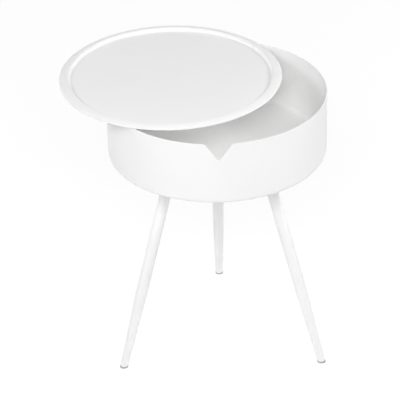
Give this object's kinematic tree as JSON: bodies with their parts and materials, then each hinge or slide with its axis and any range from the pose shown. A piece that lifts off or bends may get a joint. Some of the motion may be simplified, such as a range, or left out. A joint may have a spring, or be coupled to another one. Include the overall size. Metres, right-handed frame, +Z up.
{
  "type": "lift top end table",
  "caption": "Round side table: a lift-off tray over a storage drum with a V-shaped finger notch, on splayed tube legs that taper to the floor.",
  "frame": {"origin": "on the floor, on the drum's axis, at the centre of the circle through the feet", "axes": "+Z up along the drum's axis; the finger notch in the rim faces -Y; +X is to the right, seen from the notch's side"},
  "size_m": [0.4621, 0.437, 0.5057],
  "materials": {
    "painted_steel": "satin white powder coat",
    "zinc_steel": "zinc plated",
    "grey_plastic": "matte"
  },
  "bodies": {
    "table_base": {"drum_wall": "painted_steel", "drum_floor": "painted_steel", "mount_plate_rear": "painted_steel", "leg_boss_rear": "painted_steel", "spring_washer_rear": "zinc_steel", "leg_stud_rear": "zinc_steel", "leg_insert_rear": "zinc_steel", "leg_tube_rear": "painted_steel", "foot_glide_rear": "grey_plastic", "mount_plate_left": "painted_steel", "leg_boss_left": "painted_steel", "spring_washer_left": "zinc_steel", "leg_stud_left": "zinc_steel", "leg_insert_left": "zinc_steel", "leg_tube_left": "painted_steel", "foot_glide_left": "grey_plastic", "mount_plate_right": "painted_steel", "leg_boss_right": "painted_steel", "spring_washer_right": "zinc_steel", "leg_stud_right": "zinc_steel", "leg_insert_right": "zinc_steel", "leg_tube_right": "painted_steel", "foot_glide_right": "grey_plastic"},
    "tray": {"tray_pan": "painted_steel"}
  },
  "joints": [
    {"name": "tray_lift", "type": "slide", "parent": "table_base", "child": "tray", "axis": [0, 0, 1], "range_m": [0, 0.2]}
  ]
}
